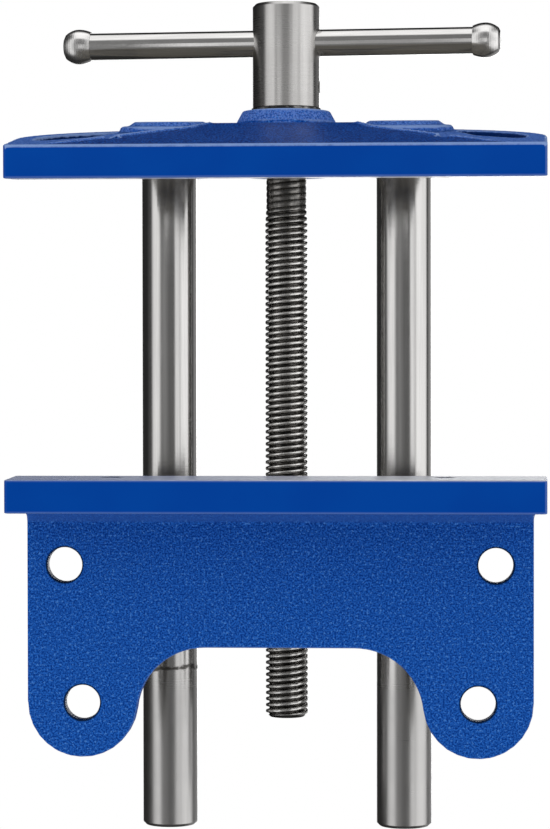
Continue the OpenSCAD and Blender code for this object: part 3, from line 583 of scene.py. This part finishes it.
# Lead screw: spigot, groove and neck turned, thread cut as a right-hand helix with two starts
SCREW_STEPS = 72
NECK_ENTRY, NECK_FOOT, THREAD_ENTRY = 0.4, 0.8, 0.6  # along Y, behind the neck's front end
SHAFT = [
    (0, SPIGOT_Y), (SPIGOT_R - SPIGOT_CHAMFER, SPIGOT_Y), (SPIGOT_R, SPIGOT_Y + SPIGOT_CHAMFER),
    (SPIGOT_R, SHOULDER_Y), (SCREW_R, SHOULDER_Y), (SCREW_R, GROOVE_FRONT), (GROOVE_R, GROOVE_FRONT),
    (GROOVE_R, GROOVE_BACK), (SCREW_R, GROOVE_BACK), (SCREW_R, NECK_Y), (NECK_R, NECK_Y + NECK_ENTRY),
    (NECK_R - NECK_DEPTH, NECK_Y + NECK_FOOT),
]
# One thread's section: share of the pitch, and share of the height from root to crest
THREAD_SHARES = [
    (0.0, 0.0), (0.06, 0.02), (0.11, 0.14), (0.17, 0.44), (0.22, 0.72),
    (0.27, 0.88), (0.34, 0.965), (0.43, 1.0), (0.57, 1.0), (0.66, 0.965),
    (0.73, 0.88), (0.78, 0.72), (0.83, 0.44), (0.89, 0.14), (0.94, 0.02),
]


def threaded_place(base, i, height):
    """A place on the helix that starts at Y base, i steps round it, at a share of the thread's height."""
    y = min(max(base + LEAD * i / SCREW_STEPS, NECK_Y + THREAD_ENTRY), SCREW_END)
    run_in = min(1, max(0.0, (y - THREAD_Y) / RUN_IN))
    crest = NECK_R + (SCREW_R - NECK_R) * run_in
    r = crest - (NECK_DEPTH + (DEPTH - NECK_DEPTH) * run_in) * (1 - height)
    from_end = SCREW_END - y
    if from_end < RUN_OUT:
        r = min(r, SCREW_R - RUN_OUT + from_end)
    return on_axis(0, r, 2 * math.pi * i / SCREW_STEPS, y)


verts, faces = lathe(SHAFT, 0, SCREW_STEPS)
first = len(verts)
rings = []
start, stop = NECK_Y - LEAD, SCREW_END + LEAD + PITCH
while start < stop:
    rings += [(start + share * PITCH, height) for share, height in THREAD_SHARES]
    start += PITCH
verts += [threaded_place(base, i, height) for base, height in rings for i in range(SCREW_STEPS)]
for k in range(len(rings) - 1):
    for i in range(SCREW_STEPS - 1):
        a = first + k * SCREW_STEPS + i
        faces.append((a, a + SCREW_STEPS, a + SCREW_STEPS + 1, a + 1))
    # the seam joins one turn to the next, whose first point lies a lead further on
    after = k + STARTS * len(THREAD_SHARES)
    if after + 1 < len(rings):
        a, b = first + (k + 1) * SCREW_STEPS - 1, first + after * SCREW_STEPS
        faces.append((a, a + SCREW_STEPS, b + SCREW_STEPS, b))
end_centre = len(verts)
verts.append(on_axis(0, 0, 0, SCREW_END))
last = first + (len(rings) - STARTS * len(THREAD_SHARES) - 1) * SCREW_STEPS
for i in range(SCREW_STEPS):
    faces.append((last + i, end_centre, last + (i + 1) % SCREW_STEPS))
place_mesh("lead_screw_threaded", verts, faces, oily, "screw", "oiled_steel", "lead_screw")

# Castings with soft edges
VOXEL = 0.0005
SMOOTH_FACTOR, SMOOTH_ROUNDS = 0.5, 3
BEND_REACH = 0.0007  # how far round a point its surroundings reach
BEND_ROUNDS = max(2, round((BEND_REACH / VOXEL) ** 2 * 4))  # steps half way to the neighbours


def cast_copy(node, name):
    """The casting with soft cast edges and fillets, from the solid's own shape."""
    obj = bpy.data.objects.new(name, nodes[node].data.copy())
    scene.collection.objects.link(obj)
    remesh = obj.modifiers.new("remesh", "REMESH")
    remesh.mode = "VOXEL"
    remesh.voxel_size = VOXEL
    smooth = obj.modifiers.new("smooth", "SMOOTH")
    smooth.factor = SMOOTH_FACTOR
    smooth.iterations = SMOOTH_ROUNDS
    bpy.context.view_layer.update()
    evaluated = obj.evaluated_get(bpy.context.evaluated_depsgraph_get())
    soft_mesh = bpy.data.meshes.new_from_object(evaluated)
    hard_mesh = obj.data
    obj.modifiers.clear()
    obj.data = soft_mesh
    bpy.data.meshes.remove(hard_mesh)
    return obj


def mark_bends(obj):
    """Stores in mm how far each point stands out from its surroundings: edges above zero, corners below."""
    mesh = obj.data
    count = len(mesh.vertices)
    place = np.empty(count * 3, np.float32)
    mesh.vertices.foreach_get("co", place)
    place = place.reshape(-1, 3).astype(float)
    normal = np.empty(count * 3, np.float32)
    mesh.vertex_normals.foreach_get("vector", normal)
    pairs = np.empty(len(mesh.edges) * 2, np.int32)
    mesh.edges.foreach_get("vertices", pairs)
    a, b = pairs.reshape(-1, 2).T
    links = np.maximum(np.bincount(np.concatenate((a, b)), minlength=count), 1)
    soft = place.copy()
    for _ in range(BEND_ROUNDS):
        for k in range(3):
            total = np.bincount(a, soft[b, k], count) + np.bincount(b, soft[a, k], count)
            soft[:, k] = 0.5 * soft[:, k] + 0.5 * total / links
    out = ((place - soft) * normal.reshape(-1, 3)).sum(axis=1) / MM
    mesh.attributes.new("bend", "FLOAT", "POINT").data.foreach_set("value", out.astype(np.float32))


front = cast_copy("front_jaw_casting", "front_jaw_cast")
dress(front, front_paint, "front_jaw", "blue_casting", "front_jaw_casting")
rear = cast_copy("rear_jaw_casting", "rear_jaw_cast")
dress(rear, rear_paint, "rear_jaw", "blue_casting", "rear_jaw_casting")
mark_bends(front)
mark_bends(rear)

# Floor, reflections and light
FLOOR_HALF, FLOOR_GAP = 6, 0.0004
SHELL_AT, SHELL_R, SHELL_SEGMENTS, SHELL_RINGS = (0, -0.08, 0), 9, 96, 48
CARD_HALF, CARD_FRONT, CARD_BACK, CARD_Z = 0.085, -0.222, -0.148, 0.104
CARD_SPAN = (0.015, 0.06, 0.42, 1.05)  # brighter towards its ends, over the two halves of the bar

# Softboxes as shiny surfaces see them: a shell round the vise that only reflections meet.
# Each box is its first and last angle and the softness of its edges, in degrees from straight up,
# and its brightness.
SIDE_BOXES = [(-74, -37, 8, 0.93), (-56, -8, 12, 0.13), (27, 47, 5, 1.0), (50, 109, 7, 1.15)]
LOW_BOXES = [(124, 220, 12, 0.3)]
END_BOXES = [(-112, -54, 7, 1.35), (-60, 32, 16, 0.07)]
# The rest of the shell, by the parts of a direction along X, Y and Z
SIDE_SPAN, END_SPAN = (0.62, 0.86, 1, 0), (0.3, 0.6, 1, 0)
BASE_SPAN, LOW_BASE_SPAN = (-0.3, 0.1, 0.03, 0.09), (-0.85, -0.6, 0.1, 1)
BETWEEN_JAWS_FADE = (-0.17, -0.09)
STRAIGHT_DOWN_FADE, STRAIGHT_DOWN_SPAN = (-0.93, -0.97), (0.15, -0.03, 0.9, 3.2)
# The plain light from all round: place between straight down and straight up, and shade of grey
SKY = [(0.0, 0.22), (0.45, 0.45), (0.55, 0.88), (1.0, 0.78)]


def flat_stage(name, low, high, z):
    mesh = bpy.data.meshes.new(name)
    (x0, y0), (x1, y1) = low, high
    mesh.from_pydata([(x0, y0, z), (x1, y0, z), (x1, y1, z), (x0, y1, z)], [], [(0, 1, 2, 3)])
    obj = bpy.data.objects.new(name, mesh)
    scene.collection.objects.link(obj)
    return obj


def glow(name, strength):
    """A light-giving material; strength(graph) gives how strongly."""
    mat = bpy.data.materials.new(name)
    mat.use_nodes = True
    graph = Graph(mat.node_tree)
    out = graph.add("ShaderNodeOutputMaterial")
    light = graph.add("ShaderNodeEmission", {"Color": (1, 1, 1)})
    graph.tree.links.new(light.outputs[0], out.inputs[0])
    graph.put(light.inputs["Strength"], strength(graph))
    return mat


def boxes(graph, angle, rows):
    total = 0.0
    for low, high, soft, bright in rows:
        rise = graph.span(angle, low - soft, low + soft)
        fall = graph.span(angle, high - soft, high + soft, bright, 0)
        total = graph.math("MULTIPLY_ADD", rise, fall, total)
    return total


def shell_glow(graph):
    place = graph.add("ShaderNodeTexCoord").outputs["Object"]
    x, y, z = graph.parts(graph.add("ShaderNodeVectorMath", {0: place}, operation="NORMALIZE").outputs[0])
    side = graph.math("MULTIPLY", graph.math("ARCTAN2", graph.math("MULTIPLY", x, -1.0), z), math.degrees(1))
    end = graph.math("MULTIPLY", graph.math("ARCTAN2", y, z), math.degrees(1))
    near = graph.span(graph.math("ABSOLUTE", y), *SIDE_SPAN)
    middle = graph.span(graph.math("ABSOLUTE", x), *END_SPAN)
    # from below, light comes from between the jaws and not from in front of the vise
    under = graph.span(y, *BETWEEN_JAWS_FADE)
    low_base = graph.math("MAXIMUM", graph.span(z, *LOW_BASE_SPAN), under)
    total = graph.math("MULTIPLY", graph.span(z, *BASE_SPAN), low_base)
    total = graph.math("MULTIPLY_ADD", near, boxes(graph, side, SIDE_BOXES), total)
    total = graph.math("MULTIPLY_ADD", graph.times(near, under), boxes(graph, side, LOW_BOXES), total)
    down = graph.times(under, graph.span(z, *STRAIGHT_DOWN_FADE))
    total = graph.math("MULTIPLY_ADD", down, graph.span(x, *STRAIGHT_DOWN_SPAN), total)
    return graph.math("MULTIPLY_ADD", middle, boxes(graph, end, END_BOXES), total)


def card_glow(graph):
    x = graph.parts(graph.add("ShaderNodeTexCoord").outputs["Object"])[0]
    return graph.span(graph.math("ABSOLUTE", x), *CARD_SPAN)


floor = flat_stage("floor", (-FLOOR_HALF, -FLOOR_HALF), (FLOOR_HALF, FLOOR_HALF), cad_low.z - FLOOR_GAP)
floor.data.materials.append(glow("pale_floor", lambda graph: 1.0))
for flag in ("visible_glossy", "visible_diffuse", "visible_shadow"):
    setattr(floor, flag, False)

bpy.ops.mesh.primitive_uv_sphere_add(
    segments=SHELL_SEGMENTS, ring_count=SHELL_RINGS, radius=SHELL_R, location=SHELL_AT)
shell = bpy.context.object
shell.name = "softbox_shell"
shell.data.materials.append(glow("softboxes", shell_glow))

# A small card close above the handle, which the hub and the bar reflect
card = flat_stage("handle_card", (-CARD_HALF, CARD_FRONT), (CARD_HALF, CARD_BACK), CARD_Z)
card.data.materials.append(glow("handle_card_light", card_glow))

for obj in (shell, card):
    for kind in ("camera", "diffuse", "shadow", "transmission", "volume_scatter"):
        setattr(obj, "visible_" + kind, False)

world = bpy.data.worlds.new("studio")
scene.world = world
world.use_nodes = True
world.cycles_visibility.glossy = False
graph = Graph(world.node_tree)
sky = graph.add("ShaderNodeBackground")
graph.tree.links.new(sky.outputs[0], graph.add("ShaderNodeOutputWorld").inputs[0])
height = graph.parts(graph.add("ShaderNodeTexCoord").outputs["Generated"])[2]
graph.put(sky.inputs["Color"], graph.grey_ramp(graph.math("MULTIPLY_ADD", height, 0.5, 0.5), SKY))
